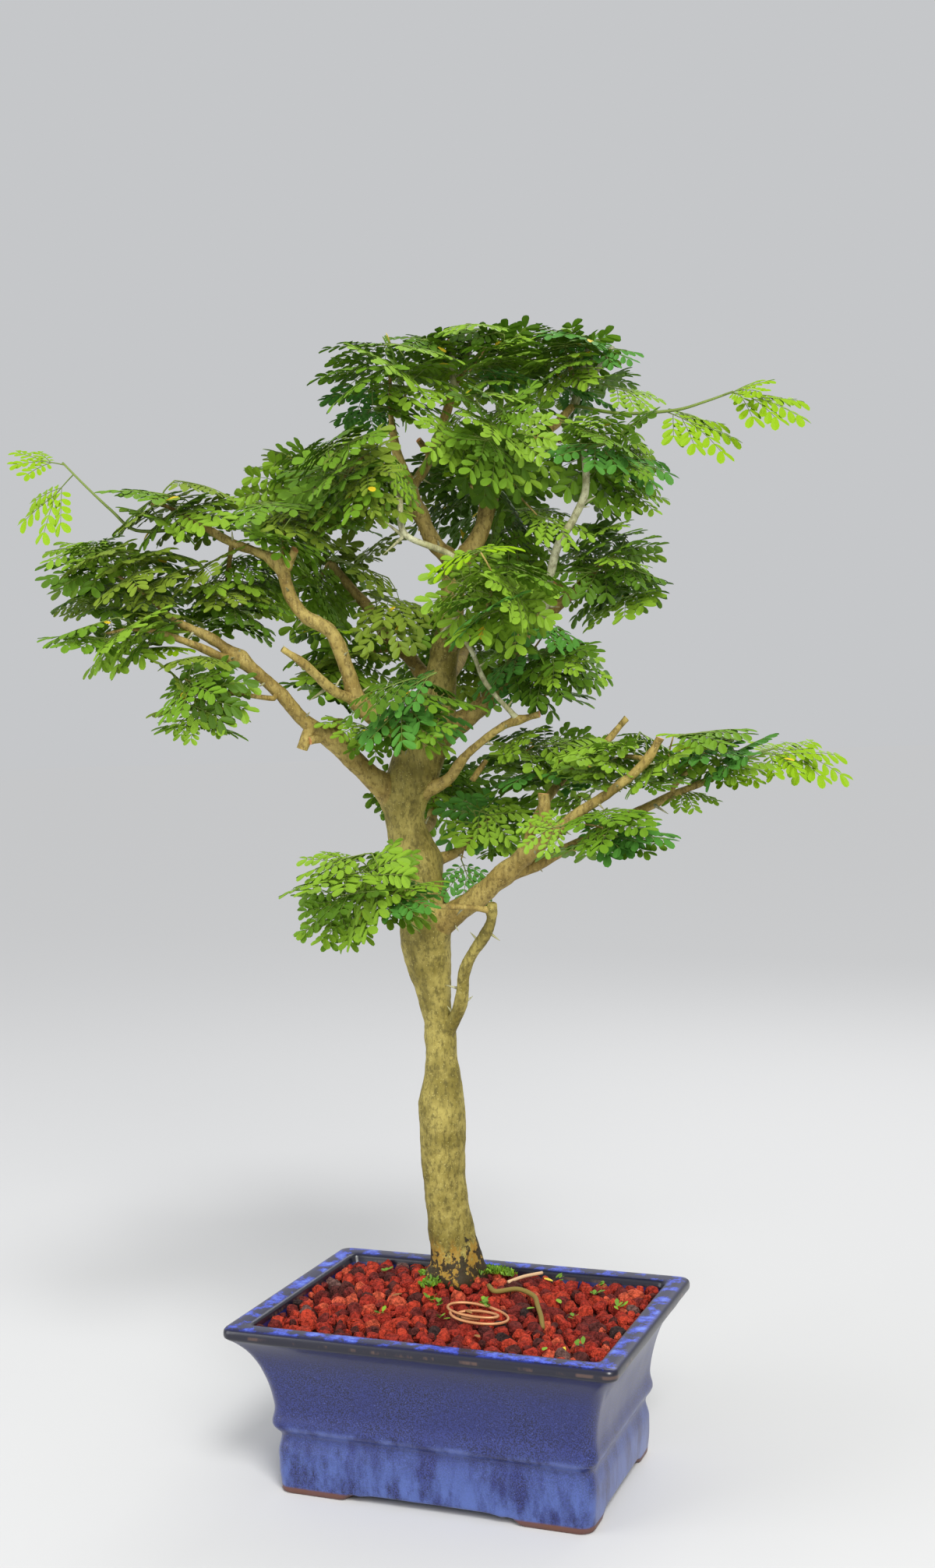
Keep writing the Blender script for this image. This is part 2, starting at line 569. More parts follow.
limbs = {
    "trunk": (None, (
        (0, 0, 0, 15.6), (0, 0, 8, 14.7), (-3, 0, 30, 13.9), (-6, 0, 58, 13.3), (-6, 0, 92, 14.9),
        (-6, 0, 108, 15.0), (-5, 0, 128, 11.7), (-6, 0, 150, 9.8), (-8, 0, 172, 10.6),
        (-11, 0, 192, 14.0), (-13, 0, 208, 16.3), (-14, 0, 232, 16.1), (-19, 0, 262, 15.8),
        (-24, 0, 282, 12.2), (-24, 0, 300, 13.2), (-17, 0, 320, 15.4), (-10, 0, 342, 14.4),
        (-3, 0, 360, 11.0), (1, 0, 382, 8.6), (7, 0, 410, 7.3), (12, 0, 448, 7.0),
    )),
    "left_low_bough": ("trunk", (
        (-22, 0, 298, 8.4), (-36, 3, 306, 7.4), (-56, 14, 326, 6.3), (-67, 18, 338, 6.6),
        (-82, 24, 348, 4.3), (-97, 30, 366, 3.9), (-123, 37, 390, 3.6), (-137, 40, 400, 3.2),
        (-154, 44, 409, 2.2),
    )),
    "left_low_spur": ("left_low_bough", (
        (-119, 36, 386, 2.7), (-129, 46, 388, 2.8), (-141, 53, 394, 2.4), (-161, 60, 402, 1.8),
    )),
    "left_high_bough": ("trunk", (
        (-13, 3, 330, 7.2), (-30, 16, 342, 5.9), (-49, 26, 358, 5.1), (-54, 30, 373, 4.5),
        (-64, 35, 401, 4.3), (-80, 38, 412, 4.0), (-88, 38, 424, 3.8), (-93, 38, 441, 4.2),
        (-103, 36, 449, 3.1), (-122, 33, 457, 2.6), (-152, 27, 475, 1.8),
    )),
    "left_high_side_bough": ("left_high_bough", (
        (-48, 26, 360, 3.2), (-63, 40, 366, 3.0), (-79, 56, 382, 2.7), (-91, 64, 391, 1.8),
    )),
    "inner_left_bough": ("trunk", (
        (-2, -4, 362, 5.8), (-20, -22, 389, 4.4), (-32, -30, 398, 4.0), (-43, -42, 418, 3.7),
        (-55, -52, 433, 3.3), (-70, -64, 452, 2.7),
    )),
    "top_left_bough": ("trunk", (
        (13, 0, 444, 5.3), (-1, -4, 457, 4.9), (-9, -7, 475, 4.5), (-18, -10, 497, 4.0),
        (-24, -6, 517, 3.0), (-26, 0, 532, 2.2),
    )),
    "top_centre_bough": ("top_left_bough", (
        (-16, -10, 492, 3.2), (-4, -22, 512, 3.2), (7, -32, 541, 3.1), (13, -34, 559, 2.6),
    )),
    "top_right_bough": ("trunk", (
        (12, 0, 443, 5.5), (26, -4, 461, 5.4), (32, -8, 480, 4.9), (37, -12, 500, 4.7),
        (44, -20, 516, 3.9), (60, -28, 524, 3.6), (77, -36, 535, 3.1), (91, -43, 550, 2.4),
    )),
    "right_mid_bough": ("trunk", (
        (-6, 0, 333, 7.3), (12, -3, 346, 6.4), (30, -8, 360, 5.4), (43, -10, 375, 4.9),
        (52, -12, 395, 4.4), (64, -13, 409, 3.9), (79, -14, 421, 3.4), (90, -16, 430, 2.6),
    )),
    "right_pale_bough": ("right_mid_bough", (
        (65, -12, 408, 2.7), (69, 6, 432, 2.6), (74, 16, 452, 2.6), (84, 22, 468, 2.4),
        (91, 26, 484, 2.3), (91, 28, 506, 1.9),
    )),
    "right_inner_bough": ("right_mid_bough", (
        (48, -11, 388, 2.8), (50, -20, 404, 2.7), (52, -26, 418, 2.4),
    )),
    "right_small_bough": ("trunk", (
        (-14, 4, 302, 4.6), (3, 14, 311, 3.6), (15, 22, 326, 2.7), (36, 30, 342, 2.2), (47, 34, 346, 2.1),
        (58, 40, 349, 1.8),
    )),
    "zigzag_shoot": ("right_small_bough", (
        (46, 34, 347, 1.6), (28, 40, 368, 1.5), (20, 44, 387, 1.4), (10, 46, 407, 1.7),
        (13, 44, 441, 1.8), (-18, 46, 458, 1.9), (-21, 44, 480, 1.8), (-27, 42, 493, 2.2),
        (-38, 43, 504, 1.7),
    )),
    "right_low_bough": ("trunk", (
        (-12, 6, 218, 7.6), (8, 18, 231, 7.2), (23, 26, 242, 6.6), (36, 32, 254, 5.8), (49, 38, 265, 4.7),
        (62, 44, 274, 3.9), (79, 52, 289, 3.2), (100, 60, 303, 3.0), (118, 67, 318, 2.8),
        (127, 71, 332, 2.2),
    )),
    "right_low_outer_bough": ("right_low_bough", (
        (36, 32, 252, 3.8), (53, 30, 257, 3.8), (69, 28, 265, 3.5), (86, 26, 272, 3.2),
        (109, 22, 284, 2.9), (139, 16, 297, 2.6), (162, 13, 306, 2.0),
    )),
    "right_low_inner_bough": ("right_low_bough", (
        (49, 38, 264, 3.3), (54, 20, 280, 3.3), (63, 6, 295, 2.9), (76, -6, 310, 2.4),
        (99, -14, 327, 2.1), (116, -20, 345, 1.9),
    )),
    "riser": ("trunk", (
        (-3, 4, 150, 3.6), (7, 18, 172, 4.2), (10, 26, 193, 3.6), (15, 32, 205, 3.4), (23, 39, 217, 3.5),
        (27, 44, 226, 3.0), (28, 49, 237, 2.2),
    )),
    "low_left_arm": ("riser", (
        (26, 47, 233, 2.0), (13, 55, 236, 1.7), (-5, 62, 238, 1.7), (-18, 64, 243, 1.6),
    )),
    "right_stub_bough": ("trunk", ((-14, -4, 258, 4.0), (6, -8, 264, 3.0), (14, -12, 271, 2.2))),
    "front_bough": ("trunk", (
        (4, 0, 392, 4.0), (12, 18, 396, 3.4), (22, 36, 402, 2.8), (27, 48, 406, 2.0),
    )),
    "back_low_bough": ("trunk", (
        (-22, 0, 270, 5.4), (-16, -24, 277, 4.6), (-10, -48, 282, 3.8), (-8, -66, 288, 2.8),
    )),
    "back_mid_bough": ("trunk", (
        (0, 0, 372, 5.2), (8, -28, 380, 4.4), (14, -54, 390, 3.6), (16, -76, 396, 2.6),
    )),
    "back_high_bough": ("top_right_bough", (
        (34, -9, 484, 3.4), (30, -36, 493, 3.2), (24, -58, 500, 2.6), (21, -72, 504, 2.0),
    )),
    "back_left_bough": ("top_left_bough", (
        (-10, -7, 476, 3.2), (-30, -34, 486, 3.0), (-50, -58, 494, 2.5), (-60, -68, 498, 1.9),
    )),
}

bark = {
    "step": 1.5, "smallStep": 1.8, "fillet": 9.0, "web": 0.09, "under": -4.0,
    "pale": ("right_pale_bough", "zigzag_shoot"), "olive": ("trunk", "riser"),
    "kinds": {                       # light, middle, dark and fleck
        "barkOlive": ((170, 156, 82), (124, 112, 46), (76, 68, 26), (204, 194, 124)),
        "barkPale": ((196, 196, 160), (160, 158, 112), (110, 104, 72), (210, 210, 180)),
        "barkTan": ((178, 158, 88), (144, 122, 58), (90, 72, 32), (206, 192, 128)),
    },
    "ochre": (166, 122, 36), "char": (26, 24, 18), "footFrom": (0.150, 0.108),       # heights in metres
    "knots": (                       # where, how wide and how proud
        ((-34, 6, 72), 5.0, 1.8), ((-44, 4, 208), 6.0, 2.0), ((7, 6, 53), 5.0, 1.2),
        ((-2.5, 12, 68.5), 2.6, 0.9), ((-10, 13, 46), 2.6, 0.9), ((10, 6, 172), 5.0, 2.2),
        ((-22, 8, 178), 4.0, 1.0), ((2, 12, 216), 6.0, 1.4), ((-30, 10, 262), 6.0, 1.4),
        ((-36, 0, 296), 7.0, 1.6), ((-60, 20, 338), 6.0, 2.2), ((-20, -10, 150), 5.0, 1.0),
        ((5, -10, 100), 5.0, 1.2), ((-18, -12, 60), 5.0, 1.3), ((-20, -14, 240), 6.0, 1.6),
        ((24, 36, 222), 4.0, 1.6), ((50, 36, 268), 4.0, 1.4), ((-90, 34, 366), 3.5, 1.2),
        ((-96, 40, 446), 4.5, 2.2), ((-58, 30, 384), 3.0, 1.0), ((12, 4, 446), 6.0, 1.4),
        ((33, -6, 482), 4.0, 1.2), ((-10, -8, 478), 3.5, 1.0), ((-118, 36, 390), 3.5, 1.4),
    ),
}


def stretchesOf(routes):             # every straight piece of these routes: starts, ends, radii at both
    a = np.vstack([route[:-1] for route in routes])
    b = np.vstack([route[1:] for route in routes])
    return a[:, :3], b[:, :3], a[:, 3], b[:, 3]


def outsideOf(points, stretches):    # how far each point lies outside the nearest stretch
    starts, ends, first, last = stretches
    along = ends - starts
    lengths = np.maximum(np.einsum("se,se->s", along, along), 1e-9)
    nearest = np.full(len(points), 1e9)
    for k in range(0, len(points), 4000):
        p = points[k:k + 4000]
        t = np.clip(np.einsum("pse,se->ps", p[:, None] - starts[None], along) / lengths, 0, 1)
        away = np.linalg.norm(p[:, None] - starts[None] - t[..., None] * along[None], axis=2)
        nearest[k:k + 4000] = (away - first - (last - first) * t).min(axis=1)
    return nearest


def near(stretches, middle, reach):  # only the stretches of wood that come near a room
    starts, ends, first, last = stretches
    low, high = np.minimum(starts, ends) - 18.0, np.maximum(starts, ends) + 18.0
    kept = ((low < middle + reach) & (high > middle - reach)).all(axis=1)
    return starts[kept], ends[kept], first[kept], last[kept]


def makeBark(name):
    light, mid, dark, fleck = (paint(*tint) for tint in bark["kinds"][name])
    made, shader, flow = newMaterial(name, 0.72, Specular_IOR_Level=0.35)
    place, _, _, z = placeOf(flow)
    cloud = grain(flow, place, 55.0, 3.0, 0.6)
    fine = grain(flow, place, 420.0, 4.0, 0.7, (1.0, 1.0, 0.55))
    pores = cells(flow, place, 520.0)
    streak = grain(flow, place, 160.0, 3.0, 0.6, (1.0, 1.0, 0.16))
    colour = blendOf(cloud.ramp(0.34, 0.66), mid, light)
    colour = blendOf(fine.ramp(0.44, 0.66) * 0.7, colour, dark)
    colour = blendOf(streak.ramp(0.5, 0.72) * 0.4, colour, dark)
    colour = blendOf(pores.ramp(0.2, 0.06) * 0.65, colour, fleck)
    foot = z.ramp(*bark["footFrom"])
    patch = grain(flow, place, 130.0, 4.0, 0.65)
    ochre = (streak * 0.9 + pores * 0.2 + foot * 0.3).ramp(0.66, 0.8) * foot.ramp(0.2, 0.6)
    colour = blendOf(ochre * 0.6, colour, paint(*bark["ochre"]))
    char = (patch * 1.2 + fine * 0.3 + foot * 0.34).ramp(0.96, 1.02) * foot.ramp(0.02, 0.3)
    colour = blendOf(char * 0.92, colour, paint(*bark["char"]))
    relief = fine + pores * 0.5 + streak * 0.6
    feed(flow, shader, Base_Color=colour, Normal=bumpOf(flow, relief, 0.55, 0.0007))
    return made


def makeLimb(name, routes):
    route = routes[name]
    thick = route[:, 3].max()
    sides = 44 if name == "trunk" else 20 if thick > 5 else 14 if thick > 3 else 10
    radii = route[:, 3].copy()
    if name != "trunk":
        radii *= 1 + 0.03 * np.sin(np.arange(len(route)) * 0.5 + len(name))
    points, faces = tube(route[:, :3], radii, sides)
    centres = np.repeat(route[:, :3], sides, axis=0)
    ways = points - centres
    ways /= np.maximum(np.linalg.norm(ways, axis=1), 1e-9)[:, None]
    others = stretchesOf([routes[other] for other in limbs if other != name])
    low, high = points.min(axis=0), points.max(axis=0)
    others = near(others, (low + high) / 2, (high - low) / 2)
    if name == "trunk":              # hollows and swellings that wander up the trunk, and its flare
        up = centres[:, 2]
        angle = np.arctan2(ways[:, 1], ways[:, 0])
        lobe = 0.055 * np.cos(2 * angle + 1.2 + up * 0.012) + 0.04 * np.cos(3 * angle - up * 0.02 + 0.5)
        flare = 0.22 * np.exp(-up / 9.0) * (1 + 0.6 * np.cos(4 * angle + 0.8))
        points += ways * (np.repeat(radii, sides) * (lobe + flare))[:, None]
    for _ in range(2):               # a soft web where limbs meet
        k = bark["fillet"] * min(1.0, thick / 9.0 + 0.25)
        h = np.clip(1 - np.abs(outsideOf(points, others)) / k, 0, 1)
        points += ways * (h * h * k * bark["web"])[:, None]
    for where, width, proud in bark["knots"]:
        off = np.linalg.norm(points - np.array(where), axis=1)
        points += ways * (proud * np.exp(-(off / width) ** 2))[:, None]
    coarse = min(1.0, thick / 9.0)
    for i, p in enumerate(points):   # swells, lumps, long ridges and a fine roughness
        v = Vector(p)
        ridge = noise.noise(Vector((p[0] * 0.75, p[1] * 0.75, p[2] * 0.34)))
        lift = 0.75 * coarse * noise.noise(v * 0.085) + 0.42 * coarse * noise.noise(v * 0.23)
        lift += 0.16 * ridge + 0.07 * noise.noise(v * 1.6)
        points[i] = p + ways[i] * lift
    if name == "trunk":
        points[:sides, 2] = bark["under"]
    return points, [tuple(reversed(face)) for face in faces]


def barkPick(name):                  # which of the kinds of bark a limb has
    return 1 if name in bark["pale"] else 0 if name in bark["olive"] else 2


def makeLimbs():
    heap = Heap()
    routes = {
        name: smoothRoute(route, bark["step"] if name == "trunk" else bark["smallStep"])
        for name, (_, route) in limbs.items()
    }
    for name in limbs:
        points, faces = makeLimb(name, routes)
        heap.add(inPot(points), faces, barkPick(name))
    barks = [makeBark(name) for name in bark["kinds"]]
    heap.piece("barkedLimbs", barks, "bark", replaced=tuple(limbs))
    print(heap.triangles(), "triangles of bark")
    return barks


barkKinds = makeLimbs()
print("limbs made")


# the foliage: each mass springs from a limb, at a share of its length, and fills a room about its middle
# with so many leaves, and each shoot has its way points and the shares of its length where its leaves stand

masses = {
    "left_top_leaves": ("left_high_bough", 1.0, (-160, 30, 479), (42, 42, 19), 5),
    "left_far_leaves": ("left_low_bough", 1.0, (-189, 24, 439), (48, 52, 25), 9),
    "left_low_leaves": ("left_low_spur", 1.0, (-183, 56, 403), (43, 44, 20), 7),
    "left_droop_leaves": ("left_low_bough", 0.6, (-141, 62, 366), (30, 40, 29), 6),
    "left_mid_leaves": ("left_high_bough", 0.84, (-130, 10, 430), (44, 46, 29), 7),
    "left_knot_leaves": ("left_high_bough", 0.7, (-92, 34, 466), (36, 42, 21), 5),
    "inner_back_leaves": ("inner_left_bough", 1.0, (-76, -74, 444), (44, 46, 38), 7),
    "inner_low_leaves": ("inner_left_bough", 0.4, (-60, -22, 389), (37, 48, 33), 8),
    "upper_left_leaves": ("zigzag_shoot", 1.0, (-50, 42, 493), (38, 46, 35), 8),
    "top_left_leaves": ("top_left_bough", 1.0, (-26, 4, 557), (44, 48, 30), 7),
    "top_centre_leaves": ("top_centre_bough", 1.0, (26, -24, 575), (44, 50, 28), 8),
    "top_right_leaves": ("top_right_bough", 1.0, (88, -46, 573), (40, 52, 29), 8),
    "right_up_leaves": ("top_right_bough", 0.76, (104, 4, 508), (40, 48, 36), 8),
    "centre_up_leaves": ("top_right_bough", 0.45, (32, 32, 518), (42, 44, 34), 8),
    "right_mid_leaves": ("right_mid_bough", 1.0, (103, -10, 441), (38, 46, 34), 7),
    "right_inner_leaves": ("right_inner_bough", 1.0, (50, -34, 456), (36, 42, 38), 7),
    "right_low_mid_leaves": ("right_mid_bough", 0.62, (62, 14, 381), (40, 44, 28), 7),
    "front_centre_leaves": ("trunk", 0.8, (-16, 72, 356), (36, 36, 24), 5),
    "low_inner_leaves": ("right_low_inner_bough", 0.62, (66, -10, 320), (46, 44, 24), 6),
    "low_middle_leaves": ("right_low_bough", 0.92, (108, 44, 320), (42, 44, 19), 6),
    "low_outer_leaves": ("right_low_outer_bough", 0.84, (162, 26, 325), (37, 42, 20), 6),
    "low_under_leaves": ("right_low_outer_bough", 0.42, (92, 62, 281), (46, 38, 16), 5),
    "low_back_leaves": ("right_stub_bough", 1.0, (30, -26, 284), (33, 38, 23), 5),
    "low_left_leaves": ("low_left_arm", 1.0, (-46, 64, 249), (44, 46, 28), 8),
    "back_low_leaves": ("back_low_bough", 1.0, (-6, -106, 302), (46, 50, 28), 7),
    "back_mid_leaves": ("back_mid_bough", 1.0, (18, -118, 392), (52, 52, 36), 8),
    "back_high_leaves": ("back_high_bough", 1.0, (22, -104, 508), (54, 46, 36), 8),
    "back_left_leaves": ("back_left_bough", 1.0, (-84, -98, 508), (50, 46, 36), 7),
    "front_mid_leaves": ("front_bough", 1.0, (32, 82, 420), (40, 40, 32), 6),
}

shoots = {
    "left_shoot_leaves": (
        "left_high_bough",
        0.97,
        ((-180, 34, 466, 1.3), (-194, 36, 478, 1.1), (-208, 38, 492, 0.9), (-222, 38, 507, 0.8)),
        ((0.9, (-0.7, 0.1, -0.72), 0.86), (0.98, (-1.0, 0.1, 0.25), 0.66)),
    ),
    "right_shoot_leaves": (
        "top_right_bough",
        0.98,
        ((118, -8, 536, 1.4), (150, 5, 535, 1.2), (168, 10, 539, 1.0), (184, 12, 544, 0.9)),
        (
            (0.62, (0.86, 0.35, -0.42), 1.0),
            (0.66, (0.8, -0.75, 0.0), 0.86),
            (0.98, (1.0, 0.12, -0.16), 1.0),
            (0.93, (0.75, 0.5, 0.2), 0.7),
        ),
    ),
    "low_shoot_leaves": (
        "right_low_outer_bough",
        1.0,
        ((181, 12, 316, 1.3), (193, 14, 322, 1.1), (204, 15, 325, 0.9)),
        (
            (0.98, (1.0, 0.0, -0.12), 0.94),
            (0.74, (0.75, -0.75, 0.12), 0.84),
            (0.78, (0.75, 0.75, -0.02), 0.8),
        ),
    ),
}

extras = {                           # leaves that stand out of their mass: where, their heading and size
    "top_left_leaves": (((-6, -8, 586), (-0.8, 0.5, 0.05), 0.74), ((20, -22, 590), (0.5, 0.7, 0.05), 0.74)),
    "top_centre_leaves": (((48, -28, 592), (0.8, 0.5, 0.05), 0.76),),
    "top_right_leaves": (
        ((73, -36, 593), (0.3, 0.9, 0.05), 0.74), ((96, -42, 592), (0.8, 0.4, 0.05), 0.76),
        ((112, -40, 584), (1.0, 0.3, -0.1), 0.76), ((126, -22, 552), (0.9, 0.3, -0.3), 0.7),
    ),
    "inner_low_leaves": (
        ((-38, 0, 458), (0.4, 0.5, 0.4), 0.86), ((-44, 0, 443), (-0.5, 0.5, 0.2), 0.86),
        ((-25, 6, 420), (0.5, 0.4, -0.2), 0.9), ((-13, 0, 412), (0.4, 0.5, -0.3), 0.8),
        ((-30, 16, 408), (-0.2, 0.5, -0.5), 0.86),
    ),
    "front_centre_leaves": (
        ((-54, 30, 346), (-0.6, 0.5, 0.1), 0.72), ((-41, 24, 339), (-0.3, 0.6, -0.4), 0.66),
    ),
    "low_inner_leaves": (((46, 20, 336), (0.5, 0.4, 0.3), 0.72),),
    "centre_up_leaves": (((74, 20, 466), (0.6, 0.5, -0.3), 0.76),),
    "left_far_leaves": (
        ((-216, 30, 457), (-1.0, 0.3, 0.02), 0.76), ((-200, 34, 453), (-0.8, 0.6, 0.05), 0.8),
    ),
    "right_up_leaves": (((124, 0, 486), (0.9, 0.4, -0.3), 0.7),),
    "low_back_leaves": (((14, 6, 250), (0.2, 0.5, -0.5), 0.7),),
    "low_middle_leaves": (((78, 24, 294), (-0.6, 0.5, -0.2), 0.72),),
    "low_outer_leaves": (((150, 22, 298), (0.5, 0.7, -0.15), 0.62), ((180, 20, 313), (0.9, 0.5, -0.05), 0.7)),
    "low_left_leaves": (((-64, 60, 266), (-0.9, 0.3, 0.05), 0.72), ((-68, 62, 236), (-0.5, 0.6, -0.5), 0.72)),
}

leaf = {
    "stalk": 18.0, "middle": 1.2, "tries": 2600, "share": 2.25, "stray": 32.0, "facing": 0.42,
    "bulge": 2.4, "over": 3.0, "depths": (0.02, 0.9), "flat": 0.55, "tumble": 0.5,
    "cell": 4.5, "crowd": 0.055,     # the spots that a leaf takes up, and the share it may have in common
    "inRoom": (1.06, 0.75, 0.7), "clear": 0.8, "outward": 0.9,      # how well a leaf keeps to its room
    "sizes": ((0.88, 1.04), (0.74, 0.9), (0.58, 0.74)), "seed": 300, "shootSeed": 77,
    "pairs": ((0.34, 66, 22.0), (0.68, 52, 26.0), (1.0, 27, 28.0)),   # place, spread in degrees, length
    "leaflets": 5, "leaflet": (9.6, 2.5), "yellow": 0.004,            # length, half its width, how many turn
    "fold": (-0.05, 0.32), "lean": (68, 34),
    "outline": ((0.10, 0.42), (0.38, 0.84), (0.70, 1.0), (0.92, 0.70)),
    "tints": {
        "deep": (76, 110, 24), "mid": (100, 138, 32), "fresh": (122, 158, 42), "lime": (130, 168, 14),
        "olive": (116, 138, 42), "teal": (76, 130, 48), "yellow": (206, 182, 40),
    },
}
tintNames = list(leaf["tints"])


def placeOn(route, share):           # the point, direction and radius at a share of a limb's length
    path = np.array([p[:3] for p in route], float)
    lengths = np.linalg.norm(np.diff(path, axis=0), axis=1)
    want = share * lengths.sum()
    for i, length in enumerate(lengths):
        if want <= length or i == len(lengths) - 1:
            t = min(want / length, 1.0)
            radius = route[i][3] * (1 - t) + route[i + 1][3] * t
            return path[i] + (path[i + 1] - path[i]) * t, unit(path[i + 1] - path[i]), radius
        want -= length


def stemStart(limb, share, towards):
    point, along, radius = placeOn(limbs[limb][1], share)
    if share >= 1.0:
        return point - along * 1.5, along
    out = towards - point
    out = unit(out - along * (out @ along))
    return point + out * radius * 0.5, out


def stemOf(name):                    # from the limb, through the middle of its mass, and a little past it
    limb, share, middle, reach, _ = masses[name]
    middle, reach = np.array(middle, float), np.array(reach, float)
    start, out = stemStart(limb, share, middle)
    near = start + out * 4.0
    radius = max(1.35, min(1.8, 0.85 * placeOn(limbs[limb][1], share)[2]))
    end = middle + unit(middle - start) * reach * 0.3
    bend = near + (end - near) * 0.55 + np.array((0, 0, 2.0))
    return [(*start, radius), (*near, radius * 0.95), (*bend, 1.2), (*end, 0.8)]


def shootRoute(name):
    limb, share, route, _ = shoots[name]
    start, out = stemStart(limb, share, np.array(route[0][:3], float))
    return [(*start, 1.6), (*(start + out * 5.0), 1.5), *route]


def roomShare(points, middle, reach):         # under 1 is inside a room with bulging sides
    return (np.abs((points - middle) / reach) ** leaf["bulge"]).sum(axis=1) ** (1 / leaf["bulge"])


def roomShares(points, index):       # how far out each point is in its own room and in the nearest other
    middles = np.array([m[2] for m in masses.values()], float)
    reaches = np.array([m[3] for m in masses.values()], float)
    close = (np.abs(middles - middles[index]) < reaches + reaches[index] + 12.0).all(axis=1)
    close[index] = False
    own = roomShare(points, middles[index], reaches[index])
    others = np.full(len(points), 9.0)
    for middle, reach in zip(middles[close], reaches[close]):
        others = np.minimum(others, roomShare(points, middle, reach))
    return own, others


def pinnaWays():                     # each side stalk's foot, direction and length on its leaf
    ways = []
    for share, spread, length in leaf["pairs"]:
        for sign in (1, -1):
            a = math.radians(spread)
            way = unit(np.array((math.cos(a), sign * math.sin(a), -0.1)))
            ways.append((np.array((leaf["stalk"] * share, 0, 0)), way, length))
    return ways


def leafProbe():
    probe = []
    for foot, way, length in pinnaWays():
        across = unit(np.cross((0, 0, 1), way)) * leaf["leaflet"][0] * 0.75
        for t in (0.25, 0.5, 0.75, 1.0):
            for w in (-1.0, 0.0, 1.0):
                probe.append(foot + way * length * t + across * w)
    return np.array(probe)


def leafAxes(heading, upper, size=1.0):
    heading = unit(heading)
    side = unit(np.cross(upper, heading))
    return np.array((heading, side, np.cross(heading, side))) * size


def rowUnits(rows):
    return rows / np.maximum(np.linalg.norm(rows, axis=-1, keepdims=True), 1e-9)


def leafCandidates(rng, middle, reach, index, sizes):
    probe, tries = leafProbe(), leaf["tries"]
    ways = rowUnits(rng.normal(size=(tries, 3)))
    centres = middle + ways * reach * rng.uniform(*leaf["depths"], (tries, 1))
    headings = ways * reach + leaf["stray"] * rowUnits(rng.normal(size=(tries, 3)))
    headings = rowUnits(headings * (1.0, 1.0, leaf["flat"]))
    faces = np.where(centres[:, 1] > 0.4 * middle[1] - 8.0, 1.0, -1.0)
    uppers = np.column_stack((np.zeros(tries), leaf["facing"] * faces, np.full(tries, 0.7)))
    uppers = uppers + leaf["tumble"] * rowUnits(rng.normal(size=(tries, 3)))
    sides = rowUnits(np.cross(uppers, headings))
    scales = rng.uniform(*sizes, tries)
    axes = np.stack((headings, sides, np.cross(headings, sides)), axis=1) * scales[:, None, None]
    bases = centres - headings * (leaf["middle"] * leaf["stalk"] * scales)[:, None]
    points = bases[:, None, :] + probe @ axes
    own, others = (shares.reshape(tries, -1) for shares in roomShares(points.reshape(-1, 3), index))
    farthest, inside, apart = leaf["inRoom"]
    fits = (own.max(axis=1) < farthest) & ((own < 1.0).mean(axis=1) > inside)
    fits &= (own < others).mean(axis=1) > apart
    placed = inPot(points.reshape(-1, 3)).reshape(tries, -1, 3)
    low, high = (np.array(corner) / mm for corner in cadBox)
    fits &= ((placed > low - leaf["over"]) & (placed < high + leaf["over"])).all(axis=(1, 2))
    return bases[fits], axes[fits], centres[fits], points[fits], own.max(axis=1)[fits]


def chosenLeaves(rng, name, index, wood, taken):      # outermost first, each in spots still free
    middle, reach = (np.array(x, float) for x in masses[name][2:4])
    wanted = round(masses[name][4] * leaf["share"])
    wood = near(wood, middle, reach)
    placed = []
    for centre, heading, size in extras.get(name, ()):
        axes = leafAxes(np.array(heading, float), np.array((0.1, 0.45, 0.8)), size)
        centre = np.array(centre, float)
        placed.append((centre - axes[0] * leaf["middle"] * leaf["stalk"], axes, centre))
    for sizes in leaf["sizes"]:
        bases, axes, centres, points, reached = leafCandidates(rng, middle, reach, index, sizes)
        clear = outsideOf(points.reshape(-1, 3), wood).reshape(len(points), -1).min(axis=1)
        spots = np.floor(points / leaf["cell"]).astype(np.int64) + 500
        spots = spots[..., 0] + 1000 * spots[..., 1] + 1000000 * spots[..., 2]
        for i in np.argsort(rng.random(len(reached)) - leaf["outward"] * reached):
            own = set(spots[i].tolist())
            if clear[i] < leaf["clear"] or len(own & taken) > leaf["crowd"] * len(own):
                continue
            taken |= own
            placed.append((bases[i], axes[i], centres[i]))
            if len(placed) >= wanted:
                return placed
    return placed


class Leaves:                        # leaflets by the thousand, turned into one mesh at the end
    def __init__(self):
        self.rows, self.tints = [], []

    def add(self, feet, ways, faces, lengths, widths, tints):
        self.rows.append(np.column_stack((feet, ways, faces, lengths, widths)))
        self.tints += tints

    def count(self):
        return len(self.tints)

    def piece(self, name, materials, replaced):
        rows = np.vstack(self.rows)
        feet, ways, ups = rows[:, 0:3], rows[:, 3:6], rows[:, 6:9]
        lengths, widths = rows[:, 9], rows[:, 10]
        sides = np.cross(ups, ways)
        sides /= np.maximum(np.linalg.norm(sides, axis=1), 1e-9)[:, None]
        ups = np.cross(ways, sides)
        outline = [(0.0, 0.0)] + [(t, w) for t, w in leaf["outline"]] + [(1.0, 0.0)]
        outline += [(t, -w) for t, w in reversed(leaf["outline"])]
        corners = []
        for t, w in outline:
            lift = 0.10 * abs(w) * widths * 2 - 0.10 * t * t * lengths
            middle = feet + ways * (lengths * t)[:, None]
            corners.append(middle + sides * (widths * w)[:, None] + ups * lift[:, None])
        points = inPot(np.stack(corners, axis=1).reshape(-1, 3))
        n = len(outline)
        tip = len(leaf["outline"]) + 1
        faces = []
        for k in range(len(rows)):
            faces.append(tuple(n * k + i for i in range(tip + 1)))
            faces.append((n * k, *(n * k + i for i in range(tip, n))))
        picks = np.repeat(self.tints, 2)
        return makePiece(name, points, faces, materials, picks, False, replaced)


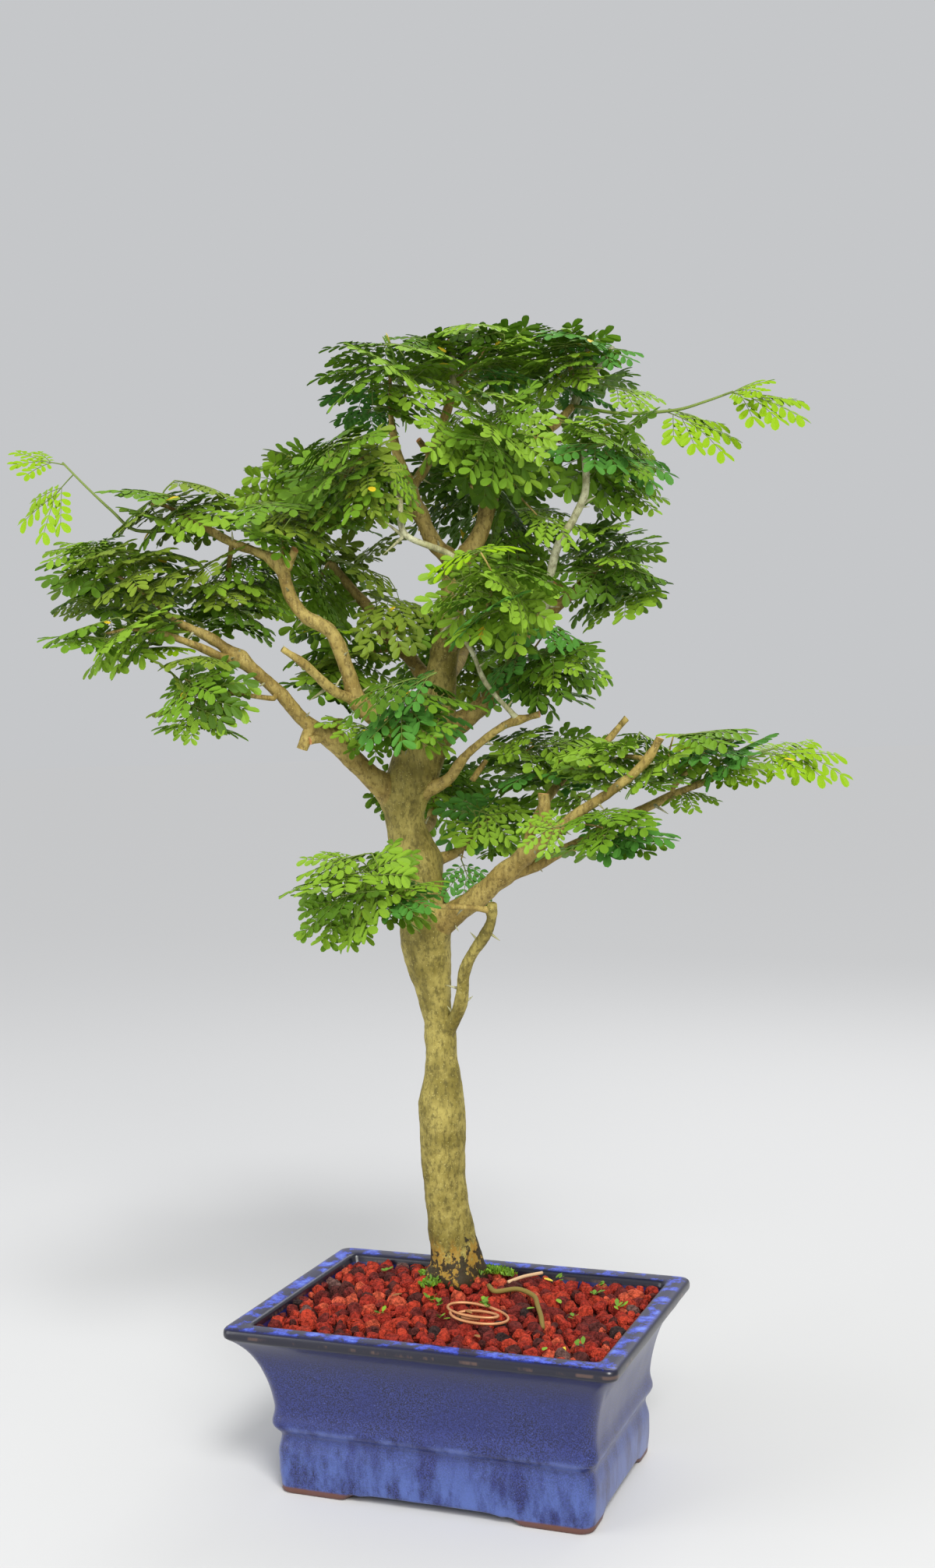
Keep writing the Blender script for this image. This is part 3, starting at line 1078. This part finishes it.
def curveOf(start, way, length, sag, count=4):       # a side stalk that arches down
    t = np.linspace(0, 1, count)[:, None]
    return start + way * length * t + np.array((0, 0, -1.0)) * sag * length * t * t


def growLeaf(rng, leaves, stalks, base, axes, tint, few=False):
    scale = np.linalg.norm(axes[0])
    upper = unit(axes[2])
    pairs = leaf["pairs"][1:] if few else leaf["pairs"]
    length = leaf["stalk"] * scale
    spine = curveOf(base, unit(axes[0]), length, 0.06)
    stalks.add(*tube(spine, np.linspace(0.5, 0.34, len(spine)), 3, False), 0)
    fold = rng.uniform(*leaf["fold"])
    leanFirst, leanLess = leaf["lean"]
    long, wide = leaf["leaflet"]
    for share, spread, reach in pairs:
        for sign in (1, -1):
            a = math.radians(spread + rng.uniform(-6, 6))
            way = unit(np.array((math.cos(a), sign * math.sin(a), -0.06)) @ axes)
            foot = spine[-1] * share + spine[0] * (1 - share)
            reached = reach * scale * rng.uniform(0.9, 1.05)
            line = curveOf(foot, way, reached, rng.uniform(0.06, 0.2))
            stalks.add(*tube(line, np.linspace(0.32, 0.2, len(line)), 3, False), 0)
            count = leaf["leaflets"] if reach > 24 else leaf["leaflets"] - 1
            t = (np.arange(count) + 0.75) / count
            at = np.clip(t, 0, 1) * (len(line) - 1)
            low = np.minimum(at.astype(int), len(line) - 2)
            feet = line[low] + (line[low + 1] - line[low]) * (at - low)[:, None]
            along = line[low + 1] - line[low]
            along /= np.linalg.norm(along, axis=1)[:, None]
            across = np.cross(upper, along)
            across /= np.linalg.norm(across, axis=1)[:, None]
            lift = np.cross(along, across)
            sizes = (0.72 + 0.38 * t) * scale
            for side in (1, -1):
                lean = np.radians(leanFirst - leanLess * t + np.array([rng.uniform(-7, 7) for _ in t]))
                out = side * np.sin(lean) * math.cos(fold)
                ways = along * np.cos(lean)[:, None] + across * out[:, None]
                ways = ways - lift * (np.sin(lean) * math.sin(fold))[:, None]
                ways += 0.05 * np.array([[rng.gauss(0, 1) for _ in range(3)] for _ in t])
                ways /= np.linalg.norm(ways, axis=1)[:, None]
                faces = lift * math.cos(fold) + across * side * math.sin(fold)
                shown = [tint if rng.random() > leaf["yellow"] else tintNames.index("yellow") for _ in t]
                leaves.add(feet + ways * 0.35, ways, faces, long * sizes, wide * sizes, shown)


def growTwigs(stem, placed, twigs):  # each leaf's stalk joins the nearest wood that lies behind it
    path = smoothRoute(stem, 3.0)
    twigs.add(*tube(path[:, :3], path[:, 3], 7), 0)
    wood = [(p[:3], p[3]) for p in path[2:]]
    order = sorted(placed, key=lambda one: min(np.linalg.norm(one[0] - w[0]) for w in wood))
    for base, axes, _ in order:
        heading = unit(axes[0])
        behind = base - heading * 7.0
        costs = [np.linalg.norm(w[0] - behind) + 4.0 * max(0.0, (w[0] - base) @ heading) for w in wood]
        start, thick = wood[int(np.argmin(costs))]
        span = np.linalg.norm(base - start)
        radius = min(thick * 0.8, 0.42 + span * 0.011)
        bend = start * 0.5 + base * 0.5 - heading * span * 0.12 + np.array((0, 0, 0.04 * span))
        line = smoothRoute([(*start, radius), (*bend, radius * 0.85), (*base, 0.5)], 3.0)
        twigs.add(*tube(line[:, :3], line[:, 3], 5), 0 if radius > 0.62 else 1)
        wood += [(p[:3], p[3]) for p in line[2:-1]]


foliageParts = {                     # the masses that each piece of leaves stands for, and its common tints
    "leftLeaves": (
        (
            "left_top_leaves", "left_far_leaves", "left_low_leaves", "left_droop_leaves", "left_mid_leaves",
            "left_knot_leaves", "inner_back_leaves", "inner_low_leaves", "upper_left_leaves",
            "left_shoot_leaves",
        ),
        {"deep": 2, "mid": 5, "fresh": 4, "olive": 6, "lime": 0.6},
    ),
    "topLeaves": (
        (
            "top_left_leaves", "top_centre_leaves", "top_right_leaves", "right_up_leaves", "centre_up_leaves",
            "right_mid_leaves", "right_inner_leaves", "right_shoot_leaves", "front_mid_leaves",
            "right_low_mid_leaves",
        ),
        {"deep": 3, "mid": 6, "fresh": 6, "teal": 2, "lime": 0.5},
    ),
    "lowLeaves": (
        (
            "front_centre_leaves", "low_inner_leaves", "low_middle_leaves", "low_outer_leaves",
            "low_under_leaves", "low_back_leaves", "low_left_leaves", "low_shoot_leaves",
        ),
        {"deep": 2, "mid": 5, "fresh": 6, "teal": 2, "lime": 1},
    ),
    "backLeaves": (
        ("back_low_leaves", "back_mid_leaves", "back_high_leaves", "back_left_leaves"),
        {"deep": 4, "mid": 6, "fresh": 3, "olive": 2},
    ),
}


def makeLeafKind(name):
    made, _, _ = newMaterial(
        "leaf" + name.capitalize(), 0.55, Base_Color=paint(*leaf["tints"][name]), Specular_IOR_Level=0.18
    )
    return made


def makeFoliage():
    kinds = [makeLeafKind(name) for name in tintNames]
    stemKind, _, _ = newMaterial("leafStalk", 0.55, Base_Color=paint(112, 132, 52))
    stretches = stretchesOf([np.array(route, float) for _, route in limbs.values()])
    twigs, stalks, taken = Heap(), Heap(), set()
    order = list(masses)
    for part, (names, tints) in foliageParts.items():
        leaves = Leaves()
        for name in names:
            if name in masses:
                index = order.index(name)
                seed = leaf["seed"] + index
                rng = random.Random(seed)
                placed = chosenLeaves(np.random.default_rng(seed), name, index, stretches, taken)
                growTwigs(stemOf(name), placed, twigs)
                for base, axes, _ in placed:
                    tint = rng.choices(list(tints), list(tints.values()))[0]
                    growLeaf(rng, leaves, stalks, base, axes, tintNames.index(tint))
                print(name, len(placed))
            else:
                rng = random.Random(leaf["shootSeed"])
                route = shootRoute(name)
                path = smoothRoute(route, 4.0)
                twigs.add(*tube(path[:, :3], path[:, 3] * 0.8, 6), 1)
                for share, heading, size in shoots[name][3]:
                    joint, _, _ = placeOn(route, share)
                    axes = leafAxes(np.array(heading, float), np.array((0.1, 0.6, 0.9)), size)
                    growLeaf(rng, leaves, stalks, joint, axes, tintNames.index("lime"), size < 0.9)
        leaves.piece(part, kinds, names)
        print(part, leaves.count() * 8, "triangles")
    twigs.piece("leafTwigs", [barkKinds[2], stemKind], "bark", inTree=True)
    stalks.piece("leafStalks", [stemKind], "leaf", inTree=True)
    print("twigs", twigs.triangles(), "stalks", stalks.triangles())


makeFoliage()
print("foliage made")


# cut stubs and thorns on the wood, and what lies and grows on the grit

cuts = {
    "wood": (                        # foot, cut end, radii at both, and the kind of bark
        ((-79, 23, 346), (-85, 25, 332), 4.2, 3.4, 2), ((-72, 20, 342), (-84, 21, 351), 4.0, 3.0, 2),
        ((-66, 18, 338), (-63, 15, 350), 4.0, 2.8, 2), ((-70, 21, 340), (-80, 27, 337), 3.6, 2.6, 2),
        ((62, 44, 275), (60, 50, 302), 4.0, 3.4, 2), ((36, -12, 498), (35, 2, 507), 3.2, 2.6, 2),
        ((84, -15, 425), (72, 0, 431), 2.8, 2.4, 2), ((-90, 38, 440), (-84, 44, 451), 3.0, 2.4, 2),
        ((13, -34, 556), (12, -15, 586), 2.3, 1.8, 1), ((13, -34, 557), (26, -35, 590), 2.2, 1.7, 1),
        ((89, -42, 547), (101, -40, 589), 2.1, 1.7, 1), ((91, -43, 549), (108, -45, 590), 2.1, 1.6, 1),
        ((91, -43, 550), (116, -46, 586), 1.9, 1.5, 1), ((43, -19, 515), (35, -10, 531), 2.6, 2.1, 2),
        ((-2, -23, 514), (-10, -14, 524), 2.4, 1.9, 2), ((18, 13, 310), (27, 8, 322), 2.0, 1.6, 2),
    ),
    "ends": (
        "right_small_bough", "right_low_bough", "right_low_inner_bough", "right_pale_bough", "left_low_spur",
    ),
    "thorns": (                      # root and point
        ((80, 28, 270), (86, 28, 262)), ((128, 18, 293), (136, 32, 287)), ((24, 38, 220), (32, 42, 214)),
        ((8, 17, 172), (15, 14, 177)), ((10, 44, 407), (-3, 41, 395)), ((-19, 45, 457), (-35, 44, 470)),
        ((-19, 45, 457), (-32, 46, 446)), ((-66, 42, 369), (-79, 36, 361)), ((88, 20, 476), (97, 28, 480)),
    ),
    "thornSpacing": 24.0, "thornLength": (3.5, 7.5), "fresh": ((206, 138, 84), (228, 172, 118)), "seed": 8,
}


def growThorn(heap, root, point, radius=0.95):
    root, point = np.array(root, float), np.array(point, float)
    line = np.array([root + (point - root) * t for t in (0.0, 0.4, 0.75, 1.0)])
    heap.add(*tube(line, np.array((1.3, 0.8, 0.45, 0.12)) * radius, 6), 1)


def growStub(heap, foot, end, first, last, pick, rng):        # sawn off a little askew
    line = smoothRoute([(*foot, first), (*end, last)], 3.0)
    points, faces = tube(line[:, :3], line[:, 3], 12)
    for i, p in enumerate(points[:-12]):
        points[i] = p + 0.3 * np.array(noise.noise_vector(Vector(p) * 0.4))
    slant = np.array([rng.uniform(-0.25, 0.25) for _ in range(3)])
    points[-12:] += ((points[-12:] - line[-1, :3]) @ slant)[:, None] * unit(line[-1, :3] - line[-2, :3])
    heap.add(points, faces[:-1], pick)
    heap.add(points[-12:], [tuple(range(12))], 3)


def makeCuts():
    rng = random.Random(cuts["seed"])
    noise.seed_set(cuts["seed"])     # so that vector noise is the same each run
    heap = Heap()
    for foot, end, first, last, pick in cuts["wood"]:
        growStub(heap, foot, end, first, last, pick, rng)
    for name in cuts["ends"]:
        end, along, radius = placeOn(limbs[name][1], 1.0)
        growStub(heap, end - along * 5, end + along * 1.5, radius, radius * 1.15, barkPick(name), rng)
    for root, point in cuts["thorns"]:
        growThorn(heap, root, point, 1.15)
    for name, (_, route) in limbs.items():
        if name == "trunk":
            continue
        length = sum(math.dist(a[:3], b[:3]) for a, b in zip(route, route[1:]))
        count = int(length / cuts["thornSpacing"])
        for k in range(count):
            spot, along, radius = placeOn(route, (k + rng.uniform(0.3, 0.9)) / count)
            out = np.array([rng.gauss(0, 1) for _ in range(3)])
            out = unit(unit(out - along * (out @ along)) + 0.25 * along)
            reach = radius + rng.uniform(*cuts["thornLength"])
            growThorn(heap, spot + out * radius * 0.7, spot + out * reach, 0.8)
    wood, shader, flow = newMaterial("cutWood", 0.75)
    place, _, _, _ = placeOf(flow)
    dark, light = (paint(*tint) for tint in cuts["fresh"])
    feed(flow, shader, Base_Color=blendOf(grain(flow, place, 500.0, 2.0, 0.6).ramp(0.35, 0.65), dark, light))
    heap.piece("cutStubs", [*barkKinds, wood], "bark", inTree=True)


makeCuts()
print("stubs made")


litter = {                           # on the grit, in the pot's frame: x, y and the height over the heap
    "wire": (16.0, -19.0, 19.0, 10.5, 2.3, 0.85),      # middle, both reaches, turns, thickness
    "root": ((8, 22, 1), (16, 13, 3), (27, 22, 3.6), (39, 17, 3.6), (45, 6, 3), (52, -8, 1.5), (56, -18, -1)),
    "stick": ((16, 35, 1.0), (22, 47, 3.0), (30, 60, 4.5)),
    "moss": (                        # x, y, reach and how many blades
        (2, 52, 10.0, 210), (-4, 40, 7.0, 90), (-27, 12, 6.0, 70), (-34, 26, 5.0, 50), (10, 50, 6.0, 70),
    ),
    "weeds": (                       # x, y and how many leaves
        (14, -3, 9), (17, -6, 6), (69, 57, 5), (71, 42, 7), (-3, -31, 5), (70, -4, 3), (-20, -8, 6),
        (-42, -30, 4), (40, 60, 4), (88, -48, 4), (92, 20, 5), (-12, -14, 5), (-70, 40, 4),
    ),
    "blade": (3.4, 0.8), "weedLeaf": (4.6, 1.3), "fallenLeaf": (6.5, 1.6), "fallen": 9, "seed": 21,
    "copper": (200, 142, 96), "rootTint": (124, 106, 44), "stickTint": (206, 172, 132),
    "greens": {
        "moss": (92, 130, 26), "weed": (118, 158, 26), "fallenYellow": (214, 190, 44),
        "fallenBrown": (142, 98, 44),
    },
}


def bladePoints(foot, way, up, length, width):
    side = unit(np.cross(way, up))
    lift = unit(np.cross(side, way))
    rows = ((0.0, 0.25), (0.35, 0.9), (0.7, 1.0), (1.0, 0.2))
    points = []
    for t, w in rows:
        middle = foot + way * length * t - lift * 0.12 * length * t * t
        points += [middle - side * width * w, middle + side * width * w]
    return points, [(0, 1, 3, 2), (2, 3, 5, 4), (4, 5, 7, 6)]


def onGrit(x, y, over):
    return np.array((x, y, gritTop(x, y) + over))


def lying(rows, radius):             # way points on the heap, with their thickness
    return smoothRoute([(*onGrit(*row), radius) for row in rows], 1.5)


def makeLitter():
    rng = random.Random(litter["seed"])
    wood, green = Heap(), Heap()
    x, y, reachX, reachY, turns, thick = litter["wire"]
    rows = []
    for k in range(int(turns * 22)):
        a = 3.3 + k / 22 * 2 * math.pi
        shrink = 1 - 0.12 * k / 22
        rows.append((
            x + reachX * shrink * math.cos(a) + 3.5 * math.sin(a * 0.45),
            y + reachY * shrink * math.sin(a) + 4.0 * math.cos(a * 0.6 + 1), 2.8 + 1.3 * math.sin(a * 0.7),
        ))
    for rows, radius, pick in ((rows, thick, 0), (litter["root"], 1.5, 1), (litter["stick"], 1.1, 2)):
        line = lying(rows, radius)
        wood.add(*tube(line[:, :3], line[:, 3], 8), pick)
    for x, y, reach, count in litter["moss"]:
        for _ in range(count):
            a, r = rng.uniform(0, 2 * math.pi), reach * math.sqrt(rng.random())
            way = unit(np.array((rng.gauss(0, 0.6), rng.gauss(0, 0.6), 1.0)))
            foot = onGrit(x + r * math.cos(a), y + r * math.sin(a), 1.2)
            length = litter["blade"][0] * rng.uniform(0.7, 1.3)
            up = np.array((rng.gauss(0, 1), rng.gauss(0, 1), 0.1))
            points, faces = bladePoints(foot, way, up, length, litter["blade"][1])
            green.add(points, faces, rng.choice((0, 0, 1)))
    for x, y, count in litter["weeds"]:
        for _ in range(count):
            a = rng.uniform(0, 2 * math.pi)
            way = unit(np.array((math.cos(a), math.sin(a), rng.uniform(0.3, 1.2))))
            length = litter["weedLeaf"][0] * rng.uniform(0.7, 1.2)
            foot = onGrit(x + rng.uniform(-2, 2), y + rng.uniform(-2, 2), rng.uniform(1.6, 3.2))
            points, faces = bladePoints(foot, way, np.array((0, 0, 1.0)), length, litter["weedLeaf"][1])
            green.add(points, faces, rng.choice((0, 0, 0, 1)))
    for _ in range(litter["fallen"]):
        x, y = rng.uniform(-98, 98), rng.uniform(-64, 64)
        a = rng.uniform(0, 2 * math.pi)
        way = unit(np.array((math.cos(a), math.sin(a), rng.uniform(-0.2, 0.3))))
        points, faces = bladePoints(onGrit(x, y, 2.6), way, np.array((0, 0, 1.0)), *litter["fallenLeaf"])
        green.add(points, faces, rng.choice((2, 2, 3, 1)))
    copper, _, _ = newMaterial("wire", 0.42, Base_Color=paint(*litter["copper"]), Metallic=0.35)
    root, _, _ = newMaterial("root", 0.8, Base_Color=paint(*litter["rootTint"]))
    stick, _, _ = newMaterial("stick", 0.8, Base_Color=paint(*litter["stickTint"]))
    wood.piece("litter", [copper, root, stick], "bark")
    greens = [newMaterial(name, 0.7, Base_Color=paint(*tint))[0] for name, tint in litter["greens"].items()]
    green.piece("moss", greens, "leaf", smooth=False)


makeLitter()
print("litter made")


# the floor, lights and camera

studio = {
    "eye": (0.3837, -0.9736, 0.4441), "azimuth": 20.94, "fall": 1.51, "roll": -1.5,
    "sensor": 36.0, "focus": 2236, "frameHeight": 2013, "near": 0.05,      # focal length and frame in pixels
    "sky": (0.56, 0.57, 0.585), "floor": (0.62, 0.62, 0.62), "floorReach": 40, "floorSides": 48,
    "sunPower": 1.45, "sunFrom": (0.75, -1.0, 1.45), "sunAngle": 16,
    "lamps": (                       # where, aimed at, width, power, colour
        ((0.9, -1.3, 1.2), (0, 0, 0.36), 0.9, 20.0, (1.0, 0.98, 0.94)),
        ((-1.3, -1.2, 0.7), (0, 0, 0.34), 1.2, 14.0, (0.97, 0.98, 1.0)),
        ((0.2, 1.3, 1.4), (0, 0, 0.42), 1.0, 7.0, (1.0, 1.0, 1.0)),
    ),
}


def aimed(place, spot):
    return (Vector(spot) - Vector(place)).to_track_quat("-Z", "Y").to_euler()


def addLamp(name, kind, place, spot, power, **settings):
    light = bpy.data.lights.new(name, kind)
    light.energy = power
    for key, value in settings.items():
        setattr(light, key, value)
    lamp = bpy.data.objects.new(name, light)
    lamp.location = place
    lamp.rotation_euler = aimed(place, spot)
    bpy.context.scene.collection.objects.link(lamp)


def makeStudio():                    # far off, the floor comes out as bright as the sky, so no edge shows
    scene = bpy.context.scene
    world = bpy.data.worlds.new("softSky")
    world.use_nodes = True
    world.node_tree.nodes["Background"].inputs[0].default_value = (*studio["sky"], 1)
    scene.world = world
    scene.view_settings.view_transform = "Standard"
    mesh = bpy.data.meshes.new("floor")
    reach, sides = studio["floorReach"], studio["floorSides"]
    angles = [2 * math.pi * k / sides for k in range(sides)]
    ring = [(reach * math.cos(a), reach * math.sin(a), 0) for a in angles]
    mesh.from_pydata(ring, [], [tuple(range(sides))])
    floor = bpy.data.objects.new("floor", mesh)
    made, _, _ = newMaterial("floorPaint", 0.9, Base_Color=(*studio["floor"], 1), Specular_IOR_Level=0.0)
    mesh.materials.append(made)
    scene.collection.objects.link(floor)
    angle = math.radians(studio["sunAngle"])
    addLamp("sun", "SUN", studio["sunFrom"], (0, 0, 0), studio["sunPower"], angle=angle)
    for k, (place, spot, width, power, tint) in enumerate(studio["lamps"]):
        addLamp(f"softbox{k}", "AREA", place, spot, power, size=width, color=tint)
    az, fall, roll = (math.radians(studio[key]) for key in ("azimuth", "fall", "roll"))
    back = np.array((math.sin(az) * math.cos(fall), -math.cos(az) * math.cos(fall), math.sin(fall)))
    right = unit(np.cross(-back, (0, 0, 1)))
    up = np.cross(right, -back)
    acrossView = right * math.cos(roll) + up * math.sin(roll)
    upView = -right * math.sin(roll) + up * math.cos(roll)
    lens = bpy.data.cameras.new("camera")
    lens.lens = studio["sensor"] * studio["focus"] / studio["frameHeight"]
    lens.sensor_width = studio["sensor"]
    lens.sensor_fit = "AUTO"
    lens.clip_start = studio["near"]
    camera = bpy.data.objects.new("camera", lens)
    turn = Matrix(np.column_stack((acrossView, upView, back)).tolist())
    camera.matrix_world = Matrix.Translation(studio["eye"]) @ turn.to_4x4()
    scene.collection.objects.link(camera)
    scene.camera = camera


makeStudio()
print("studio made")
